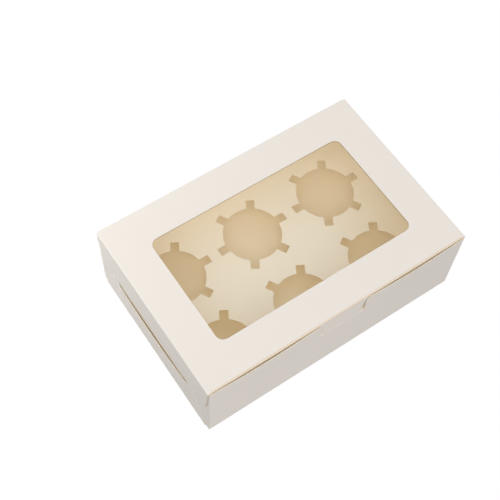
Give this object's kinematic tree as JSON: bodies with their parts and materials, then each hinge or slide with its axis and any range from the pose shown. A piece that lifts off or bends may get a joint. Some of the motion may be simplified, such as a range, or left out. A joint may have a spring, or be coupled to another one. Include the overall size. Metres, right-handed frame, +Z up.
{
  "type": "cupcake box",
  "caption": "Windowed folding carton with a hinged tuck-in lid and a punched card insert that holds cupcakes upright.",
  "frame": {"origin": "centre of the carton's underside", "axes": "+X along the long front edge, to the right as seen from the front; +Y to the back, where the lid hinges; +Z up"},
  "size_m": [0.2436, 0.1611, 0.075],
  "materials": {
    "white_board": "smooth coated white board, satin",
    "lid_board": "smooth coated white board, satin",
    "insert_board": "uncoated cream board, matt",
    "clear_film": "clear film, glossy"
  },
  "bodies": {
    "base": {"carton_base": "white_board", "cupcake_insert": "insert_board"},
    "lid": {"lid": "lid_board", "window_film": "clear_film"}
  },
  "joints": [
    {"name": "lid_hinge", "type": "hinge", "parent": "base", "child": "lid", "pos_m": [0, 0.08, 0.075], "axis": [-1, 0, 0], "range_deg": [0, 180]}
  ]
}
